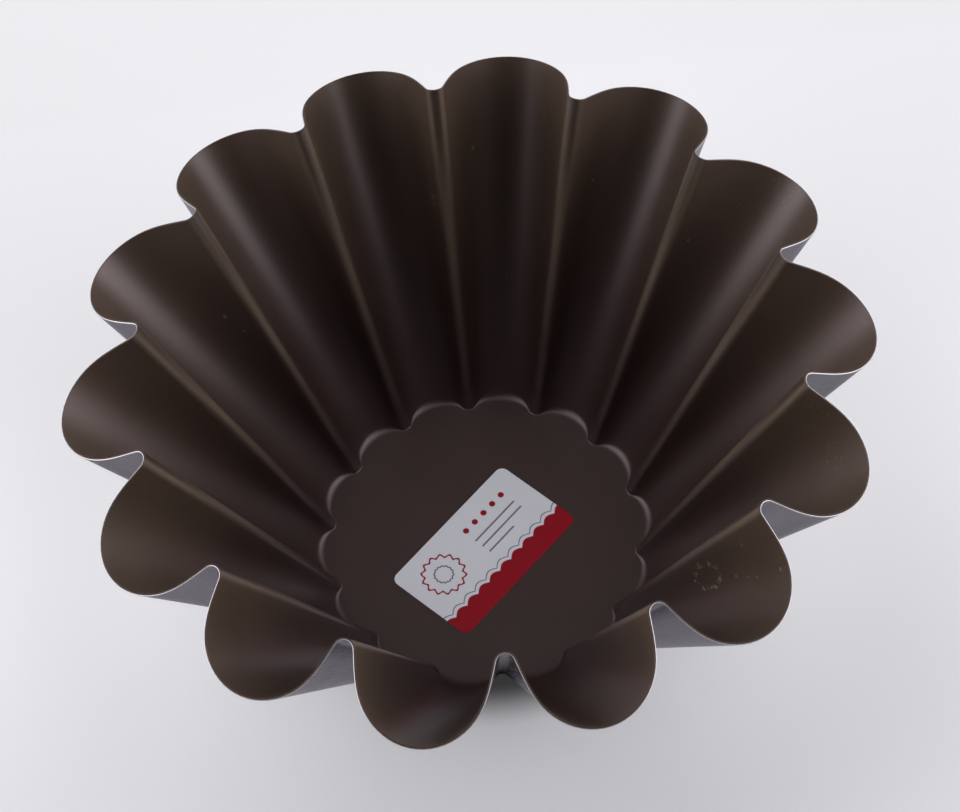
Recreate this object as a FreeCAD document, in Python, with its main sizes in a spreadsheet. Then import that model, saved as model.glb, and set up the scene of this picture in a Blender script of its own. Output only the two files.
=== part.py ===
import FreeCAD, Part
import Sketcher
import math
import os

# Fluted brioche mould. Millimetres, +Z up, origin at the centre of the underside of the base.

doc = FreeCAD.newDocument("brioche_mould")
dims = doc.addObject("Spreadsheet::Sheet", "dims")

SIZES = (
    ("flute_count", 14, "flutes around the mould"),
    ("rim_crest_radius", 100.0, "axis to the outside of a flute at the rim"),
    ("rim_flute_depth", 18.7, "depth of a flute at the rim, crest to ridge"),
    ("rim_crest_height", 80.0, "height of the rim at a flute's crest"),
    ("rim_wave_rise", 10.5, "how much higher the rim is at a ridge"),
    ("base_crest_radius", 45.0, "axis to a flute's crest at the underside, before the foot is rounded"),
    ("base_flute_depth", 4.0, "depth of a flute at the underside"),
    ("foot_round_run", 1.7, "length of the foot's rounding along the base and along the wall"),
    ("sheet_thickness", 0.45, "steel"),
    ("coat_clearance", 0.05, "bond line between the steel and the coat"),
    ("coat_thickness", 0.10, "non-stick coat"),
    ("label_length", 45.3, "label, long side"),
    ("label_width", 26.5, "label, short side"),
    ("label_corner_radius", 2.2, "label's rounded corners"),
    ("label_paper_thickness", 0.10, "paper"),
    ("label_adhesive_thickness", 0.03, "adhesive under the paper"),
    ("label_centre_x", -0.6, "label's centre"),
    ("label_centre_y", -3.8, "label's centre"),
    ("label_turn", 43.5, "degrees from +X to the label's long side"),
)
for row, (name, value, note) in enumerate(SIZES, 1):
    dims.set(f"A{row}", note)
    dims.set(f"B{row}", str(value))
    dims.setAlias(f"B{row}", name)
doc.recompute()

# Half a flute from crest to ridge: shares of the half pitch, of the depth, of the run along the outline.
FLUTE_SHARES = (
    (0.000, 1.000, 0.000),
    (0.246, 0.955, 0.183),
    (0.474, 0.825, 0.366),
    (0.663, 0.619, 0.548),
    (0.792, 0.356, 0.731),
    (0.885, 0.080, 0.910),
    (0.929, 0.022, 0.955),
    (1.000, 0.000, 1.000),
)
UP = FreeCAD.Vector(0, 0, 1)


def flute_shares():
    """A whole flute, from the ridge on one side over the crest to the ridge on the other."""
    first_half = [(-angle, depth, -run) for angle, depth, run in reversed(FLUTE_SHARES[1:])]
    return first_half + list(FLUTE_SHARES)


def half_pitch():
    return math.pi / int(dims.flute_count)


def outline_points(crest_radius, flute_depth, crest_height, wave_rise):
    """One flute's outline, with its crest on +X."""
    points = []
    for angle_share, depth_share, _ in flute_shares():
        angle = angle_share * half_pitch()
        radius = crest_radius - flute_depth * (1 - depth_share)
        height = crest_height + wave_rise * (1 - depth_share)
        points.append(FreeCAD.Vector(radius * math.cos(angle), radius * math.sin(angle), height))
    return points


def outline_curve(points):
    """A smooth curve that meets the next flute's without a corner."""
    runs = [run for _, _, run in flute_shares()]
    speed = (points[1] - points[0]).Length / (runs[1] - runs[0])
    sine = math.sin(half_pitch())
    cosine = math.cos(half_pitch())
    curve = Part.BSplineCurve()
    curve.interpolate(
        Points=points,
        Parameters=runs,
        InitialTangent=FreeCAD.Vector(sine, cosine, 0) * speed,
        FinalTangent=FreeCAD.Vector(-sine, cosine, 0) * speed,
        Scale=False,
    )
    return curve


def unit(vector):
    return vector / vector.Length


def tangents(points):
    curve = outline_curve(points)
    return [unit(curve.tangent(run)[0]) for _, _, run in flute_shares()]


def skin_outlines(inset):
    """One flute of the skin this far inside the outer one: flat base, foot's control, wall's foot, rim."""
    corner = outline_points(dims.base_crest_radius, dims.base_flute_depth, 0, 0)
    rim = outline_points(
        dims.rim_crest_radius, dims.rim_flute_depth, dims.rim_crest_height, dims.rim_wave_rise
    )
    rises = [unit(top - foot) for foot, top in zip(corner, rim)]
    wall_foot = [foot + rise * dims.foot_round_run for foot, rise in zip(corner, rises)]
    flat_edge = [
        foot + UP.cross(tangent) * dims.foot_round_run + UP * inset
        for foot, tangent in zip(corner, tangents(corner))
    ]
    inner_foot = [
        point + unit(rise.cross(tangent)) * inset
        for point, rise, tangent in zip(wall_foot, rises, tangents(wall_foot))
    ]
    inner_rim = [
        point + unit(rise.cross(tangent)) * inset
        for point, rise, tangent in zip(rim, rises, tangents(rim))
    ]
    control = [
        low + (low - high) * ((low.z - inset) / (high.z - low.z))
        for low, high in zip(inner_foot, inner_rim)
    ]
    return flat_edge, control, inner_foot, inner_rim


def around(shape):
    """The same shape at every flute."""
    turn = 360 / int(dims.flute_count)
    return [shape.rotated(FreeCAD.Vector(), UP, turn * index) for index in range(int(dims.flute_count))]


def band(outlines):
    """Straight between two outlines, or rounded towards the middle one of three."""
    curves = [outline_curve(points) for points in outlines]
    degree = len(outlines) - 1
    surface = Part.BSplineSurface()
    surface.buildFromPolesMultsKnots(
        [list(column) for column in zip(*[curve.getPoles() for curve in curves])],
        curves[0].getMultiplicities(),
        [degree + 1, degree + 1],
        curves[0].getKnots(),
        [0, 1],
        False,
        False,
        curves[0].Degree,
        degree,
    )
    return around(surface.toShape())


def skin_faces(inset):
    flat_edge, control, wall_foot, rim = skin_outlines(inset)
    flat = Part.Face(Part.Wire(around(outline_curve(flat_edge).toShape())))
    return [flat] + band((flat_edge, control, wall_foot)) + band((wall_foot, rim))


def layer(outer_inset, inner_inset):
    """The solid between two skins, closed by the cut edge along the rim."""
    cut_edge = band((skin_outlines(outer_inset)[3], skin_outlines(inner_inset)[3]))
    shell = Part.Shell(skin_faces(outer_inset) + skin_faces(inner_inset) + cut_edge)
    shell.sewShape()
    solid = Part.Solid(shell)
    if solid.Volume < 0:
        solid.reverse()
    return solid


def pressed_layer(name, outer_inset, inner_inset):
    piece = doc.addObject("Part::Feature", name)
    piece.Label = name
    piece.Shape = layer(outer_inset, inner_inset)
    return piece


def rectangle_sketch(body):
    sketch = body.newObject("Sketcher::SketchObject", body.Name + "_outline")
    ground = next(item for item in body.Origin.OriginFeatures if item.Role == "XY_Plane")
    sketch.AttachmentSupport = (ground, [""])
    sketch.MapMode = "FlatFace"
    half_length = dims.label_length / 2
    half_width = dims.label_width / 2
    corners = [
        FreeCAD.Vector(-half_length, -half_width, 0),
        FreeCAD.Vector(half_length, -half_width, 0),
        FreeCAD.Vector(half_length, half_width, 0),
        FreeCAD.Vector(-half_length, half_width, 0),
    ]
    for index in range(4):
        sketch.addGeometry(Part.LineSegment(corners[index], corners[(index + 1) % 4]))
    for index, direction in enumerate(("Horizontal", "Vertical", "Horizontal", "Vertical")):
        sketch.addConstraint(Sketcher.Constraint("Coincident", index, 2, (index + 1) % 4, 1))
        sketch.addConstraint(Sketcher.Constraint(direction, index))
    sketch.addConstraint(Sketcher.Constraint("Symmetric", 0, 1, 2, 1, -1, 1))
    length = sketch.addConstraint(Sketcher.Constraint("DistanceX", 0, 1, 0, 2, dims.label_length))
    width = sketch.addConstraint(Sketcher.Constraint("DistanceY", 1, 1, 1, 2, dims.label_width))
    sketch.setExpression(f"Constraints[{length}]", "dims.label_length")
    sketch.setExpression(f"Constraints[{width}]", "dims.label_width")
    return sketch


def label_layer(name, thickness_cell, height_expression):
    """A rounded sheet of the label, lying on the coated base."""
    body = doc.addObject("PartDesign::Body", name)
    body.Label = name
    pad = body.newObject("PartDesign::Pad", name + "_sheet")
    pad.Profile = rectangle_sketch(body)
    pad.setExpression("Length", thickness_cell)
    doc.recompute()
    upright = [
        f"Edge{number}"
        for number, edge in enumerate(pad.Shape.Edges, 1)
        if edge.BoundBox.ZLength > edge.BoundBox.XLength + edge.BoundBox.YLength
    ]
    rounding = body.newObject("PartDesign::Fillet", name + "_corners")
    rounding.Base = (pad, upright)
    rounding.setExpression("Radius", "dims.label_corner_radius")
    body.Placement.Rotation = FreeCAD.Rotation(UP, dims.label_turn)
    body.setExpression("Placement.Base.x", "dims.label_centre_x")
    body.setExpression("Placement.Base.y", "dims.label_centre_y")
    body.setExpression("Placement.Base.z", height_expression)
    return body


coat_back = dims.sheet_thickness + dims.coat_clearance
COATED_BASE = "dims.sheet_thickness + dims.coat_clearance + dims.coat_thickness"
GLUED_BASE = COATED_BASE + " + dims.label_adhesive_thickness"
pieces = [
    pressed_layer("steel_pressing", 0, dims.sheet_thickness),
    pressed_layer("nonstick_lining", coat_back, coat_back + dims.coat_thickness),
    label_layer("label_adhesive", "dims.label_adhesive_thickness", COATED_BASE),
    label_layer("label_face", "dims.label_paper_thickness", GLUED_BASE),
]
doc.recompute()

for item in doc.Objects:
    if "Invalid" in item.State or "Error" in item.State:
        raise RuntimeError(f"{item.Name} did not build: {item.State}")
for piece in pieces:
    if piece.Shape.isNull() or not piece.Shape.isValid():
        raise RuntimeError(f"{piece.Label} has no valid shape")

os.makedirs("parts", exist_ok=True)
for piece in pieces:
    piece.Shape.exportStep(f"parts/{piece.Label}.step")
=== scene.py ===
import math
import bpy
import numpy as np
from mathutils import Matrix, Vector


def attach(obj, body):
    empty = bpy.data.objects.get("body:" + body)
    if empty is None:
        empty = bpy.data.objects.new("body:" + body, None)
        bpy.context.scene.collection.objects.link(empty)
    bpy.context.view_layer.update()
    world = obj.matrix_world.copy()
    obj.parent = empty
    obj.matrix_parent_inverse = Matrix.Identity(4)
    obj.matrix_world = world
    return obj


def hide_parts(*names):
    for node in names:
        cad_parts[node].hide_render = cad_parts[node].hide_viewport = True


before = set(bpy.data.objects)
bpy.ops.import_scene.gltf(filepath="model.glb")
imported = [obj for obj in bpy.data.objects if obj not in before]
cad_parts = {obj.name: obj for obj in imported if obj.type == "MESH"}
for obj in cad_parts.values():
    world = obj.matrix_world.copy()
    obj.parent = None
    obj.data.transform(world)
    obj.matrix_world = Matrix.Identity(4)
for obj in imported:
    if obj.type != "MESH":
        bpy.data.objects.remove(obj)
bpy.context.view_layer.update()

MM = 0.001
FLUTES = 14
HALF_PITCH = math.pi / FLUTES
RIM_CREST_RADIUS = 100.0 * MM
RIM_FLUTE_DEPTH = 18.7 * MM
RIM_CREST_HEIGHT = 80.0 * MM
RIM_WAVE_RISE = 10.5 * MM
BASE_CREST_RADIUS = 45.0 * MM
BASE_FLUTE_DEPTH = 4.0 * MM
FOOT_ROUND_RUN = 2.1 * MM
FOOT_ROUND_AT_RIDGE = 0.35
SKIN_EASE = 0.02 * MM
SHEET = 0.45 * MM
COAT_BACK = 0.50 * MM
COAT_FRONT = 0.60 * MM
STEEL_EDGE_ROUND = 0.16 * MM
COAT_EDGE_ROUND = 0.03 * MM
LABEL_CENTRE = (-0.6 * MM, -3.8 * MM, 0.0)
LABEL_TURN = math.radians(43.5)

# Half a flute from crest to ridge: shares of the half pitch, of the depth and of the outline's run.
FLUTE_SHARES = np.array((
    (0.000, 1.000, 0.000),
    (0.246, 0.955, 0.182),
    (0.474, 0.825, 0.364),
    (0.663, 0.619, 0.545),
    (0.792, 0.356, 0.727),
    (0.887, 0.0825, 0.909),
    (0.902, 0.0495, 0.932),
    (0.918, 0.031, 0.947),
    (0.938, 0.0166, 0.961),
    (0.964, 0.0053, 0.978),
    (1.000, 0.000, 1.000),
))
WHOLE_FLUTE = np.vstack((FLUTE_SHARES[:0:-1] * (-1, 1, -1), FLUTE_SHARES))
RUNS = WHOLE_FLUTE[:, 2]
UP = np.array((0.0, 0.0, 1.0))


def unit(vectors):
    return vectors / np.linalg.norm(vectors, axis=-1, keepdims=True)


def outline(crest_radius, flute_depth, crest_height, wave_rise):
    """The points of one flute in plan, its crest on +X."""
    angle = WHOLE_FLUTE[:, 0] * HALF_PITCH
    below_crest = 1 - WHOLE_FLUTE[:, 1]
    radius = crest_radius - flute_depth * below_crest
    height = crest_height + wave_rise * below_crest
    return np.stack((radius * np.cos(angle), radius * np.sin(angle), height), 1)


def slopes(points):
    """The slopes of the curve through a flute's points, which meets the next flute without a corner."""
    steps = np.diff(RUNS)
    speed = np.linalg.norm(points[1] - points[0]) / steps[0]
    sine, cosine = math.sin(HALF_PITCH), math.cos(HALF_PITCH)
    count = len(points)
    system = np.eye(count)
    known = np.zeros((count, 3))
    known[0] = np.array((sine, cosine, 0)) * speed
    known[-1] = np.array((-sine, cosine, 0)) * speed
    for i in range(1, count - 1):
        before, after = steps[i - 1], steps[i]
        system[i, i - 1:i + 2] = 1 / before, 2 / before + 2 / after, 1 / after
        known[i] = 3 * ((points[i] - points[i - 1]) / before**2 + (points[i + 1] - points[i]) / after**2)
    return np.linalg.solve(system, known)


def along(points, runs):
    """Places on that curve at the given runs: -1 and 1 at the two ridges, 0 at the crest."""
    slope = slopes(points)
    span = np.clip(np.searchsorted(RUNS, runs, "right") - 1, 0, len(RUNS) - 2)
    step = np.diff(RUNS)[span]
    t = ((runs - RUNS[span]) / step)[:, None]
    step = step[:, None]
    return (
        (1 + 2 * t) * (1 - t)**2 * points[span]
        + t * (1 - t)**2 * step * slope[span]
        + t**2 * (3 - 2 * t) * points[span + 1]
        - t**2 * (1 - t) * step * slope[span + 1]
    )


def skin_outlines(inset):
    """One flute of the skin at this inset: the flat base's edge, the foot's control, its top, the rim."""
    corner = outline(BASE_CREST_RADIUS, BASE_FLUTE_DEPTH, 0, 0)
    rim = outline(RIM_CREST_RADIUS, RIM_FLUTE_DEPTH, RIM_CREST_HEIGHT, RIM_WAVE_RISE)
    rise = unit(rim - corner)
    below_crest = 1 - WHOLE_FLUTE[:, 1:2]
    round_run = FOOT_ROUND_RUN * (1 - (1 - FOOT_ROUND_AT_RIDGE) * below_crest)
    wall_foot = corner + rise * round_run
    flat_edge = corner + np.cross(UP, unit(slopes(corner))) * round_run + UP * inset
    inner_foot = wall_foot + unit(np.cross(rise, unit(slopes(wall_foot)))) * inset
    inner_rim = rim + unit(np.cross(rise, unit(slopes(rim)))) * inset
    share = (inner_foot[:, 2] - inset) / (inner_rim[:, 2] - inner_foot[:, 2])
    control = inner_foot + (inner_foot - inner_rim) * share[:, None]
    return flat_edge, control, inner_foot, inner_rim


# Columns of the mesh from crest to ridge, closest where the outline bends over the ridge's shoulder.
SIDE_COLUMNS = 16
SHOULDER_COLUMNS = 14
SHOULDER_START = 0.88
SHOULDER_END = 0.985
HALF_COLUMNS = np.concatenate((
    np.linspace(0, SHOULDER_START, SIDE_COLUMNS, endpoint=False),
    np.linspace(SHOULDER_START, SHOULDER_END, SHOULDER_COLUMNS, endpoint=False),
    (SHOULDER_END, 1.0),
))
FLUTE_COLUMNS = np.concatenate((-HALF_COLUMNS[:0:-1], HALF_COLUMNS[:-1]))
COLUMNS = FLUTES * len(FLUTE_COLUMNS)
BASE_RINGS = (0.12, 0.3, 0.5, 0.7, 0.86, 0.96)
FOOT_ROWS = 10
WALL_ROWS = 16
EDGE_ANGLES = np.radians((30, 60, 90, 120, 150))
BARE_EDGE_ROWS = 3


def at_flute(points, number):
    """The same points turned from the flute on +X to the one with this number."""
    turn = 2 * HALF_PITCH * number
    sine, cosine = math.sin(turn), math.cos(turn)
    return points @ np.array(((cosine, sine, 0), (-sine, cosine, 0), (0, 0, 1)))


def ring(points):
    """One closed ring around the mould from a flute's points."""
    flute = along(points, FLUTE_COLUMNS)
    return np.vstack([at_flute(flute, number) for number in range(FLUTES)])


def on_coat(flute, across, height):
    """A place on the coated wall: the flute's number, -1 to 1 from ridge to ridge, the height."""
    _, _, wall_foot, rim = skin_outlines(COAT_FRONT)
    low, high = (along(points, np.array([across]))[0] for points in (wall_foot, rim))
    share = (height - low[2]) / (high[2] - low[2])
    return at_flute(low + (high - low) * share, flute)


def skin_rings(inset):
    """The rings of a skin from near the middle of the base, out over the foot and up to the rim."""
    flat_edge, control, wall_foot, rim = (ring(points) for points in skin_outlines(inset))
    rings = [flat_edge * (share, share, 0) + UP * inset for share in BASE_RINGS]
    for t in np.linspace(0, 1, FOOT_ROWS + 1):
        rings.append((1 - t)**2 * flat_edge + 2 * t * (1 - t) * control + t**2 * wall_foot)
    for t in np.linspace(0, 1, WALL_ROWS + 1)[1:]:
        rings.append(wall_foot + (rim - wall_foot) * t)
    return rings


def layer_mesh(name, outer_inset, inner_inset, edge_round):
    """A closed layer of the mould: outside up to the rim, over the rounded edge, and down the inside."""
    outside = skin_rings(outer_inset)
    inside = skin_rings(inner_inset)
    fall = unit(outside[-1] - outside[-2]) * edge_round
    outside[-1] = outside[-1] - fall
    inside[-1] = inside[-1] - fall
    over_edge = []
    for angle in EDGE_ANGLES:
        share = (1 - math.cos(angle)) / 2
        over_edge.append(outside[-1] + (inside[-1] - outside[-1]) * share + fall * math.sin(angle))
    rings = outside + over_edge + inside[::-1]
    points = np.vstack(rings + [UP[None] * outer_inset, UP[None] * inner_inset])

    column = np.arange(COLUMNS)
    after = (column + 1) % COLUMNS
    row = np.arange(len(rings) - 1)[:, None] * COLUMNS
    corners = (row + column, row + after, row + COLUMNS + after, row + COLUMNS + column)
    quads = np.stack(corners, -1).reshape(-1, 4)
    last = (len(rings) - 1) * COLUMNS
    middle = len(rings) * COLUMNS
    outer_fan = np.stack((after, column, np.full(COLUMNS, middle)), 1)
    inner_fan = np.stack((last + column, last + after, np.full(COLUMNS, middle + 1)), 1)
    mesh = bpy.data.meshes.new(name)
    mesh.from_pydata(points.tolist(), [], quads.tolist() + outer_fan.tolist() + inner_fan.tolist())
    mesh.shade_smooth()

    ends = np.empty(len(mesh.edges) * 2, dtype=np.int32)
    mesh.edges.foreach_get("vertices", ends)
    end_rows = ends.reshape(-1, 2) // COLUMNS
    edge_rows = (len(outside) - 1, len(outside) + len(over_edge))
    sharp = (end_rows[:, 0] == end_rows[:, 1]) & np.isin(end_rows[:, 0], edge_rows)
    mesh.edges.foreach_set("use_edge_sharp", sharp)

    ridge = mesh.attributes.new("ridge", "FLOAT", "POINT")
    towards_ridge = np.tile(np.abs(FLUTE_COLUMNS), FLUTES * len(rings))
    ridge.data.foreach_set("value", np.append(towards_ridge, (0, 0)))
    bare_end = edge_rows[0] + BARE_EDGE_ROWS
    edge_spans = {"bare_edge": (edge_rows[0], bare_end), "coated_edge": (bare_end, edge_rows[1])}
    for edge_name, (first, end) in edge_spans.items():
        marked = np.zeros(len(rings) - 1)
        marked[first:end] = 1
        edge = mesh.attributes.new(edge_name, "FLOAT", "FACE")
        edge.data.foreach_set("value", np.append(np.repeat(marked, COLUMNS), np.zeros(2 * COLUMNS)))

    around = np.append(0, np.cumsum(np.linalg.norm(np.roll(outside[-1], -1, 0) - outside[-1], axis=1)))
    up_wall = np.append(0, np.cumsum([np.linalg.norm(b[0] - a[0]) for a, b in zip(rings, rings[1:])]))
    left, right = around[:-1], around[1:]
    quad_u = np.stack((left, right, right, left), -1)
    quad_u = np.broadcast_to(quad_u, (len(rings) - 1, COLUMNS, 4))
    quad_v = np.stack((up_wall[:-1], up_wall[:-1], up_wall[1:], up_wall[1:]), -1)
    quad_v = np.broadcast_to(quad_v[:, None], (len(rings) - 1, COLUMNS, 4))
    outer_fan_u = np.stack((right, left, left), -1)
    inner_fan_u = np.stack((left, right, left), -1)
    outer_fan_v = np.broadcast_to((up_wall[0], up_wall[0], up_wall[0]), (COLUMNS, 3))
    inner_fan_v = np.broadcast_to((up_wall[-1], up_wall[-1], up_wall[-1]), (COLUMNS, 3))
    u = np.concatenate((quad_u.ravel(), outer_fan_u.ravel(), inner_fan_u.ravel()))
    v = np.concatenate((quad_v.ravel(), outer_fan_v.ravel(), inner_fan_v.ravel()))
    drawing = mesh.uv_layers.new(name="drawing")
    drawing.data.foreach_set("uv", np.stack((u, v), 1).ravel())
    mesh.update()
    piece = bpy.data.objects.new(name, mesh)
    bpy.context.scene.collection.objects.link(piece)
    return piece


class Value:
    """A socket of a node tree, with Python's operators as Math nodes."""

    def __init__(self, look, socket):
        self.look = look
        self.socket = socket

    def __add__(self, other):
        return self.look.calc("ADD", self, other)

    def __sub__(self, other):
        return self.look.calc("SUBTRACT", self, other)

    def __rsub__(self, other):
        return self.look.calc("SUBTRACT", other, self)

    def __mul__(self, other):
        return self.look.calc("MULTIPLY", self, other)

    def __truediv__(self, other):
        return self.look.calc("DIVIDE", self, other)

    def __pow__(self, other):
        return self.look.calc("POWER", self, other)

    def __abs__(self):
        return self.look.calc("ABSOLUTE", self)

    __radd__ = __add__
    __rmul__ = __mul__


# The sockets that a Mix node uses for colours.
MIX_FIRST = 6
MIX_SECOND = 7
MIX_RESULT = 2


class Look:
    """A node tree that is written as expressions."""

    def __init__(self, tree):
        self.tree = tree
        tree.nodes.clear()

    def node(self, kind, settings=(), inputs=(), output=0):
        node = self.tree.nodes.new(kind)
        for key, value in dict(settings).items():
            setattr(node, key, value)
        for key, value in dict(inputs).items():
            if isinstance(value, Value):
                self.tree.links.new(value.socket, node.inputs[key])
            else:
                node.inputs[key].default_value = value
        return Value(self, node.outputs[output]) if node.outputs else None

    def calc(self, operation, *terms):
        return self.node("ShaderNodeMath", {"operation": operation}, dict(enumerate(terms)))

    def either(self, first, second):
        """The larger of two values."""
        return self.calc("MAXIMUM", first, second)

    def vectors(self, operation, first, second, output="Value"):
        return self.node("ShaderNodeVectorMath", {"operation": operation}, {0: first, 1: second}, output)

    def place(self, output="Object"):
        return self.node("ShaderNodeTexCoord", output=output)

    def part(self, vector, axis):
        return self.node("ShaderNodeSeparateXYZ", inputs={0: vector}, output=axis)

    def vector(self, x, y, z=0.0):
        return self.node("ShaderNodeCombineXYZ", inputs={0: x, 1: y, 2: z})

    def attribute(self, name):
        return self.node("ShaderNodeAttribute", {"attribute_name": name}, output="Fac")

    def drawing(self):
        """Metres around the rim and up the wall."""
        uv = self.node("ShaderNodeUVMap", {"uv_map": "drawing"})
        return self.part(uv, "X"), self.part(uv, "Y")

    def noise(self, vector, size, detail=2.0, roughness=0.5):
        settings = {"Vector": vector, "Scale": 1 / size, "Detail": detail, "Roughness": roughness}
        return self.node("ShaderNodeTexNoise", inputs=settings)

    def flecks(self, vector, size, radius, share):
        """Round flecks, one in each cell of this size, of which this share is kept."""
        inputs = {"Vector": vector, "Scale": 1 / size}
        distance = self.node("ShaderNodeTexVoronoi", inputs=inputs, output="Distance")
        draw = self.part(self.node("ShaderNodeTexVoronoi", inputs=inputs, output="Color"), "X")
        kept = self.step(draw, 1 - share, 1 - share + 0.01)
        return (1 - self.step(distance, 0.5 * radius / size, radius / size)) * kept

    def step(self, value, low, high):
        """0 below low, 1 above high, smooth between."""
        inputs = {"Value": value, "From Min": low, "From Max": high}
        return self.node("ShaderNodeMapRange", {"interpolation_type": "SMOOTHSTEP"}, inputs)

    def shade(self, colour, amount):
        return self.node("ShaderNodeVectorMath", {"operation": "SCALE"}, {0: colour, "Scale": amount})

    def mix(self, factor, first, second):
        inputs = {0: factor, MIX_FIRST: first, MIX_SECOND: second}
        return self.node("ShaderNodeMix", {"data_type": "RGBA"}, inputs, MIX_RESULT)

    def bump(self, height, distance, strength):
        inputs = {"Height": height, "Distance": distance, "Strength": strength}
        return self.node("ShaderNodeBump", inputs=inputs)

    def surface(self, **inputs):
        sockets = {key.replace("_", " "): value for key, value in inputs.items()}
        shader = self.node("ShaderNodeBsdfPrincipled", inputs=sockets)
        self.node("ShaderNodeOutputMaterial", inputs={"Surface": shader})


def material(name):
    made = bpy.data.materials.new(name)
    made.use_nodes = True
    return made, Look(made.node_tree)


def rgb(red, green, blue):
    """A colour from its usual 0 to 255 values."""
    def linear(value):
        share = value / 255
        return share / 12.92 if share <= 0.04045 else ((share + 0.055) / 1.055)**2.4
    return linear(red), linear(green), linear(blue), 1.0


COAT_OLIVE = rgb(69, 55, 46)
COAT_BROWN = rgb(47, 34, 31)
COAT_BASE = rgb(53, 37, 33)
# Tan of the ridge lines: partly rubbed coat, partly painted highlight.
COAT_TAN_WEAR_AND_HIGHLIGHT = rgb(106, 92, 76)
COAT_WORN = rgb(150, 138, 122)
COAT_IOR = 1.71
COAT_GLOSS_TINT = (1.0, 0.86, 0.91, 1.0)
COAT_FLAKE = 0.5 * MM
COAT_PEEL = 1.5 * MM
COAT_CLOUD = 16 * MM
COAT_RELIEF = 0.1 * MM


# Flecks of wear after the photograph: flute, place across it, height and radius in millimetres.
FLECKS = (
    (4, -0.78, 58.5, 1.1),
    (4, -0.79, 56.6, 0.7),
    (3, 0.44, 63.1, 0.7),
    (3, -0.56, 44.7, 0.6),
    (6, -0.65, 56.6, 0.7),
    (6, -0.74, 52.0, 0.6),
    (11, 0.23, 39.0, 0.6),
    (1, 0.79, 64.7, 0.6),
    (2, 0.61, 62.4, 0.6),
    (12, 0.58, 62.4, 0.5),
    (12, 0.54, 67.0, 0.45),
    (12, 0.52, 70.1, 0.5),
    (12, 0.52, 80.6, 0.6),
    (12, 0.81, 73.7, 0.5),
)
FLECK_STRENGTH = 0.8
DROP_FLUTE = 12
DROP_ACROSS = 0.68
DROP_HEIGHT = 51.6 * MM
DROP_STRETCH = 2.1
DROP_RADIUS = 3.1 * MM
DROP_LINE = 0.6 * MM
DROP_REACH = 13 * MM
DROP_STRENGTH = 0.7


def fleck(look, distance, ragged, radius):
    """A spot with a ragged edge around the place that the distance is from."""
    return (1 - look.step(distance + ragged * (1.2 * radius), 0.3 * radius, radius)) * FLECK_STRENGTH


def dried_drop(look, place):
    """The broken outline of a dried drop on one flute."""
    centre = on_coat(DROP_FLUTE, DROP_ACROSS, DROP_HEIGHT)
    rise = unit(on_coat(DROP_FLUTE, DROP_ACROSS, RIM_CREST_HEIGHT) - centre)
    level = on_coat(DROP_FLUTE, DROP_ACROSS + 0.01, DROP_HEIGHT) - centre
    sideways = unit(level - rise * (level @ rise))
    ragged = (look.noise(place, 1.3 * MM, 2.0) - 0.5) * (3.5 * MM)
    offset = look.vectors("SUBTRACT", place, tuple(centre), "Vector")
    up_wall = look.vectors("DOT_PRODUCT", offset, tuple(rise)) / DROP_STRETCH
    across = look.vectors("DOT_PRODUCT", offset, tuple(sideways))
    off_line = abs((up_wall * up_wall + across * across)**0.5 + ragged - DROP_RADIUS)
    distance = look.vectors("DISTANCE", place, tuple(centre))
    near = 1 - look.step(distance, DROP_REACH - 2 * MM, DROP_REACH)
    broken = look.step(look.noise(place, 1.1 * MM, 2.0), 0.47, 0.6)
    return (1 - look.step(off_line, 0.3 * DROP_LINE, DROP_LINE)) * broken * near * DROP_STRENGTH


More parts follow.
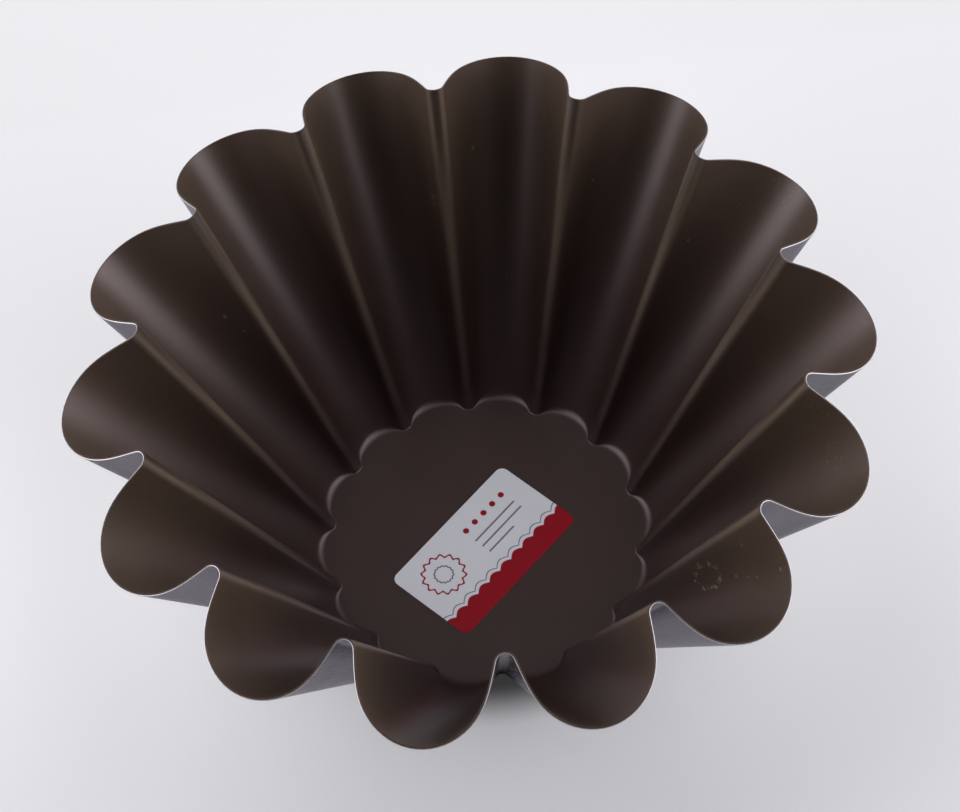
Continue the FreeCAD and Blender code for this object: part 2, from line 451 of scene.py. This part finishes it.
def coat_look():
    """Brown satin coat with fine flakes, more olive towards the rim, with a tan line up each ridge that is
    partly rubbed coat and partly painted highlight, and painted shade on the ridge top near the rim.
    """
    made, look = material("brown_nonstick_coat")
    place = look.place()
    height = look.part(place, "Z")
    ridge = look.attribute("ridge")
    around, up_wall = look.drawing()
    flakes = look.noise(place, COAT_FLAKE, 2.0, 0.6)
    peel = look.noise(place, COAT_PEEL, 2.0, 0.5)
    clouds = look.noise(place, COAT_CLOUD, 3.0, 0.55)
    near_rim = look.step(height, 24 * MM, 84 * MM)
    brown = look.mix(near_rim, COAT_BROWN, COAT_OLIVE)
    brown = look.mix(look.step(height, 1 * MM, 5 * MM), COAT_BASE, brown)
    brown = look.shade(brown, 0.59 + flakes * 0.42 + clouds * 0.4)
    up_ridge = look.step(height, 5 * MM, 60 * MM)
    split = look.step(height, 50 * MM, 85 * MM)
    painted_shade_ridge_top = look.step(ridge, 0.955, 0.985)
    two_lines = look.step(ridge, 0.915, 0.96) * (1 - painted_shade_ridge_top)
    one_line = look.step(ridge, 0.945, 0.985)
    nose = (two_lines * split + one_line * (1 - split)) * up_ridge
    # Painted shade: near the rim the ridge top between the two tan lines is darkened by 35 percent.
    brown = look.shade(brown, 1 - painted_shade_ridge_top * split * 0.35)
    # The tan line up each ridge is partly rubbed coat and partly a painted highlight.
    brown = look.mix(nose * 0.4, brown, COAT_TAN_WEAR_AND_HIGHLIGHT)
    foot = look.step(height, COAT_FRONT + 0.05 * MM, 1.2 * MM) * (1 - look.step(height, 2 * MM, 6 * MM))
    corner = look.step(ridge, 0.55, 0.9) * foot

    right_side = look.step(look.part(place, "X"), 20 * MM, 70 * MM)
    wear = look.step(look.noise(place, 14 * MM, 2.0), 0.42, 0.56) * near_rim * (0.35 + 0.65 * right_side)
    pits = look.flecks(place, 1.2 * MM, 0.22 * MM, 0.5) * wear * 0.8
    specks = look.flecks(place, 7 * MM, 0.25 * MM, 0.4)
    slant = look.vector((around + up_wall * 0.3) / (0.9 * MM), up_wall / (13 * MM), height / (60 * MM))
    hairs = look.flecks(slant, 1.0, 0.09, 0.05)
    worn = look.either(look.either(pits, specks), hairs)
    ragged = look.noise(place, 0.6 * MM, 2.0) - 0.5
    for flute, across, up, radius in FLECKS:
        distance = look.vectors("DISTANCE", place, tuple(on_coat(flute, across, up * MM)))
        worn = look.either(worn, fleck(look, distance, ragged, radius * MM))
    worn = look.either(worn, dried_drop(look, place))
    brown = look.mix(worn * 0.6, brown, COAT_WORN)
    roughness = 0.31 + flakes * 0.1 + clouds * 0.03
    look.surface(
        Base_Color=brown,
        Roughness=roughness + worn * 0.05 + corner * 0.3 + nose * 0.06,
        IOR=COAT_IOR,
        Specular_Tint=COAT_GLOSS_TINT,
        Normal=look.bump(flakes * 0.1 + peel * 0.2 + worn * 0.1, COAT_RELIEF, 0.8),
    )
    return made


STEEL_DARK = rgb(146, 144, 150)
STEEL_LIGHT = rgb(162, 159, 166)
STEEL_CLOUD = rgb(130, 128, 134)
STEEL_SCUFF = rgb(192, 190, 196)
STEEL_GRAZE = (0.56, 0.54, 0.55, 1.0)
EDGE_BRIGHT = rgb(192, 187, 192)
LINE_WIDTH = 0.22 * MM
LINE_LENGTH = 26 * MM
SCUFF_WIDTH = 1.4 * MM
SCUFF_LENGTH = 17 * MM
STEEL_RELIEF = 0.008 * MM


def steel_look():
    """Grey steel with fine drawing lines up the wall. Its rim's edge is bare outside and coated inside."""
    made, look = material("bare_pressed_steel")
    place = look.place()
    around, up_wall = look.drawing()
    lines = look.noise(look.vector(around / LINE_WIDTH, up_wall / LINE_LENGTH), 1.0, 3.0, 0.6)
    clouds = look.noise(place, 14 * MM, 3.0)
    grain = look.noise(place, 0.4 * MM, 2.0)
    scuffs = look.flecks(look.vector(around / SCUFF_WIDTH, up_wall / SCUFF_LENGTH), 1.0, 0.07, 0.2)
    bare_edge = look.attribute("bare_edge")
    coated_edge = look.attribute("coated_edge")
    grey = look.mix(look.step(lines, 0.3, 0.7), STEEL_DARK, STEEL_LIGHT)
    grey = look.mix(look.step(clouds, 0.4, 0.7) * 0.3, grey, STEEL_CLOUD)
    grey = look.mix(scuffs * 0.25, grey, STEEL_SCUFF)
    grey = look.mix(bare_edge, grey, EDGE_BRIGHT)
    grey = look.mix(coated_edge, grey, COAT_OLIVE)
    look.surface(
        Base_Color=grey,
        Metallic=1 - coated_edge,
        Specular_Tint=STEEL_GRAZE,
        Roughness=0.2 + lines * 0.08 + clouds * 0.05 + bare_edge * 0.12 + coated_edge * 0.1,
        Normal=look.bump(lines * 0.6 + grain * 0.4, STEEL_RELIEF, 0.3),
    )
    return made


PAPER = (rgb(230, 230, 241), rgb(238, 238, 248))
PRINT_GREY = (rgb(112, 110, 118), rgb(128, 126, 134))
PRINT_RED = (rgb(150, 0, 26), rgb(160, 2, 32))
PRINT_SOFT = 0.06 * MM
PAPER_RELIEF = 0.006 * MM
SCALLOP_PITCH = 4.5 * MM
SCALLOP_RISE = 1.1 * MM
BAND_TOP = -7.6 * MM
HAIRLINE_TOP = -6.4 * MM
HAIRLINE_HALF = 0.16 * MM
ROSETTE_X = -12.6 * MM
ROSETTE_Y = 3.4 * MM
# Rings of the rosette: radius, rise of their lobes and half the line's width.
OUTER_RING = (5.6 * MM, 0.42 * MM, 0.28 * MM)
INNER_RING = (2.5 * MM, 0.12 * MM, 0.22 * MM)
DOTS = 5
DOT_X = 1.2 * MM
DOT_Y = 7.4 * MM
DOT_PITCH = 3.6 * MM
DOT_RADIUS = 0.85 * MM
# Rules of the print: centre and length in millimetres.
RULES = ((8.4, 3.4, 16.0), (8.4, 0.9, 16.0), (5.4, -1.6, 10.0))
RULE_WIDTH = 0.5 * MM


def label_look():
    """White coated paper with a plain print: a scalloped red band, a fluted rosette, dots and rules."""
    made, look = material("printed_label_paper")
    place = look.place()
    sheet = look.node(
        "ShaderNodeMapping", {"vector_type": "TEXTURE"},
        {"Vector": place, "Location": LABEL_CENTRE, "Rotation": (0, 0, LABEL_TURN)},
    )
    x, y = look.part(sheet, "X"), look.part(sheet, "Y")

    def inside(distance):
        """1 where the distance to a printed shape's edge is negative."""
        return 1 - look.step(distance, -PRINT_SOFT, PRINT_SOFT)

    def rule(centre_x, centre_y, length):
        across = abs(x - centre_x) - length / 2
        upright = abs(y - centre_y) - RULE_WIDTH / 2
        return inside(look.either(across, upright))

    def rosette_ring(radius, lobe_rise, half_line):
        return inside(abs(from_rosette - lobes * lobe_rise - radius) - half_line)

    scallop = abs(look.calc("COSINE", x * (math.pi / SCALLOP_PITCH))) * SCALLOP_RISE
    band = inside(y - scallop - BAND_TOP)
    hairline = inside(abs(y - scallop - HAIRLINE_TOP) - HAIRLINE_HALF)
    from_x, from_y = x - ROSETTE_X, y - ROSETTE_Y
    from_rosette = (from_x * from_x + from_y * from_y)**0.5
    lobes = look.calc("COSINE", look.calc("ARCTAN2", from_y, from_x) * FLUTES)
    red = look.either(band, rosette_ring(*OUTER_RING))
    for index in range(DOTS):
        dot_x, dot_y = x - (DOT_X + DOT_PITCH * index), y - DOT_Y
        red = look.either(red, inside((dot_x * dot_x + dot_y * dot_y)**0.5 - DOT_RADIUS))
    grey = look.either(hairline, rosette_ring(*INNER_RING))
    for centre_x, centre_y, length in RULES:
        grey = look.either(grey, rule(centre_x * MM, centre_y * MM, length * MM))

    fibre = look.noise(place, 0.5 * MM, 3.0, 0.6)
    paper = look.mix(fibre, *PAPER)
    paper = look.mix(grey, paper, look.mix(fibre, *PRINT_GREY))
    paper = look.mix(red, paper, look.mix(fibre, *PRINT_RED))
    look.surface(
        Base_Color=paper,
        Roughness=0.36 + fibre * 0.1,
        Specular_IOR_Level=0.3,
        Normal=look.bump(fibre, PAPER_RELIEF, 0.3),
    )
    return made


ADHESIVE = (rgb(190, 182, 160), rgb(212, 206, 188))
ADHESIVE_RELIEF = 0.01 * MM


def adhesive_look():
    """Clouded tacky film, which shows only as a hairline around the paper."""
    made, look = material("label_adhesive_film")
    place = look.place()
    clouds = look.noise(place, 1.2 * MM, 3.0)
    look.surface(
        Base_Color=look.mix(clouds, *ADHESIVE),
        Roughness=0.4 + clouds * 0.15,
        Normal=look.bump(clouds, ADHESIVE_RELIEF, 0.3),
    )
    return made


FLOOR_PALE = rgb(233, 232, 237)
FLOOR_DRIFT = rgb(236, 235, 240)
FLOOR_FAR = rgb(233, 232, 236)
# The floor's colours include painted shade in front of the mould and a painted shadow under it.
FLOOR_PAINTED_FRONT_SHADE = rgb(212, 211, 218)
FLOOR_PAINTED_SHADOW = rgb(22, 22, 24)
FLOOR_GLOW = (0.98, 0.97, 1.0, 1.0)
GLOW_CENTRE_Y = 5 * MM
GLOW_REACH = 68 * MM
GLOW_BESIDE = 0.175
GLOW_MORE_LEFT = 0.06
GLOW_BEHIND = 0.045


def floor_look():
    """Pale table with a painted shadow under the mould and painted shade in front of it. Beside it the
    table glows with painted light, for camera rays alone.
    """
    made, look = material("pale_floor")
    place = look.place()
    x, y = look.part(place, "X"), look.part(place, "Y")
    drift = look.noise(place, 0.5, 2.0)
    grain = look.noise(place, 1.2 * MM, 2.0)
    pale = look.mix(drift, FLOOR_PALE, FLOOR_DRIFT)
    pale = look.mix(look.step(y, 152 * MM, 162 * MM), pale, FLOOR_FAR)
    # Painted shade: the floor is darker in front of the mould.
    painted_front_shade = (1 - look.step(y, -100 * MM, -45 * MM)) * (1 - look.step(abs(x), 30 * MM, 120 * MM))
    pale = look.mix(painted_front_shade, pale, FLOOR_PAINTED_FRONT_SHADE)
    # Painted shadow: the floor goes near-black under the mould's foot and fades to pale between 43 and 57
    # mm from the middle.
    outward = (x * x + y * y)**0.5
    pale = look.mix(look.step(outward, 43 * MM, 57 * MM), FLOOR_PAINTED_SHADOW, pale)
    # Painted light: the floor glows for camera rays beside the mould, more on its left, and a little from
    # just in front of it backwards, lifting it where the mould's shadow falls.
    along_side = (y - GLOW_CENTRE_Y) / GLOW_REACH
    beside = look.calc("EXPONENT", 0 - along_side * along_side) * look.step(abs(x), 15 * MM, 95 * MM)
    on_left = 1 - look.step(x, -110 * MM, -40 * MM)
    glow = beside * (GLOW_BESIDE + on_left * GLOW_MORE_LEFT)
    glow = glow + look.step(y, -95 * MM, -20 * MM) * GLOW_BEHIND
    to_camera = look.node("ShaderNodeLightPath", output="Is Camera Ray")
    look.surface(
        Base_Color=pale,
        Roughness=0.55 + grain * 0.1,
        Emission_Color=look.mix(glow * to_camera, (0, 0, 0, 1), FLOOR_GLOW),
        Emission_Strength=1.0,
    )
    return made


LIGHTS_TURN = math.radians(-4.3)
SIDE_LIGHT = 3.95
OPENING_GLOW = 0.08
OPENING_EDGES = (0.47, 0.82)
WALL_FOCUS = 1.3
FALL_WITH_HEIGHT = 0.42
OVERHEAD_SOFTNESS = 0.04


def studio_light():
    """Two large soft walls of light left and right, with a dark opening in front."""
    world = bpy.data.worlds.new("studio")
    bpy.context.scene.world = world
    world.use_nodes = True
    look = Look(world.node_tree)
    way = look.place("Generated")
    x, y, height = (look.part(way, axis) for axis in "XYZ")
    sine, cosine = math.sin(LIGHTS_TURN), math.cos(LIGHTS_TURN)
    across = x * cosine + y * sine
    away = y * cosine - x * sine
    level = across * across + away * away + OVERHEAD_SOFTNESS
    sides = (across * across / level)**WALL_FOCUS
    forward = (0 - away) / level**0.5
    opening = look.step(forward, *OPENING_EDGES) * (1 - OPENING_GLOW)
    upward = look.node("ShaderNodeClamp", inputs={"Value": height})
    walls = SIDE_LIGHT * sides * (1 - FALL_WITH_HEIGHT * upward)
    walls = walls * (1 - opening)
    shine = look.node("ShaderNodeBackground", inputs={"Color": (1, 1, 1, 1), "Strength": walls})
    look.node("ShaderNodeOutputWorld", inputs={"Surface": shine})


# The photograph's camera: raised 59 degrees, rolled a little, its picture shifted up from the middle.
CAMERA_RISE = math.radians(59.002)
CAMERA_ROLL = math.radians(-5.552)
CAMERA_TURN = math.radians(-1.272)
CAMERA_DISTANCE = 709.99 * MM
CAMERA_TARGET = Vector((0, 0, 40 * MM))
FOCAL_PIXELS = 2773.7
PICTURE_WIDTH = 960
SHIFT_PIXELS = (2.40, 55.48)
SENSOR_WIDTH = 36


def photo_camera():
    """The photograph's camera, with its lens and its shift in pixels of the picture."""
    back = Vector((0, -math.cos(CAMERA_RISE), math.sin(CAMERA_RISE)))
    level_right = Vector((1, 0, 0))
    level_up = back.cross(level_right)
    right = level_right * math.cos(CAMERA_ROLL) + level_up * math.sin(CAMERA_ROLL)
    up = level_up * math.cos(CAMERA_ROLL) - level_right * math.sin(CAMERA_ROLL)
    data = bpy.data.cameras.new("camera")
    data.sensor_width = SENSOR_WIDTH
    data.lens = FOCAL_PIXELS * SENSOR_WIDTH / PICTURE_WIDTH
    data.shift_x, data.shift_y = (pixels / PICTURE_WIDTH for pixels in SHIFT_PIXELS)
    data.clip_start = 10 * MM
    camera = bpy.data.objects.new("camera", data)
    stand = Matrix((right, up, back)).transposed().to_4x4()
    stand.translation = CAMERA_TARGET + back * CAMERA_DISTANCE
    camera.matrix_world = Matrix.Rotation(CAMERA_TURN, 4, "Z") @ stand
    bpy.context.scene.collection.objects.link(camera)
    bpy.context.scene.camera = camera
    bpy.context.scene.view_settings.view_transform = "Standard"


FLOOR_HALF = 12.0


def pale_floor():
    half = FLOOR_HALF
    corners = [(-half, -half, 0), (half, -half, 0), (half, half, 0), (-half, half, 0)]
    mesh = bpy.data.meshes.new("floor")
    mesh.from_pydata(corners, [], [(0, 1, 2, 3)])
    mesh.materials.append(floor_look())
    floor = bpy.data.objects.new("floor", mesh)
    bpy.context.scene.collection.objects.link(floor)


pressing = layer_mesh("pressed_steel_body", SKIN_EASE, SHEET, STEEL_EDGE_ROUND)
pressing.data.materials.append(steel_look())
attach(pressing, "root")
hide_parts("steel_pressing")

lining = layer_mesh("brown_lining", COAT_BACK, COAT_FRONT, COAT_EDGE_ROUND)
lining.data.materials.append(coat_look())
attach(lining, "root")
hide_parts("nonstick_lining")

for node, finish in (("label_face", label_look()), ("label_adhesive", adhesive_look())):
    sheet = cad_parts[node]
    sheet.data.materials.clear()
    sheet.data.materials.append(finish)

pale_floor()
studio_light()
photo_camera()
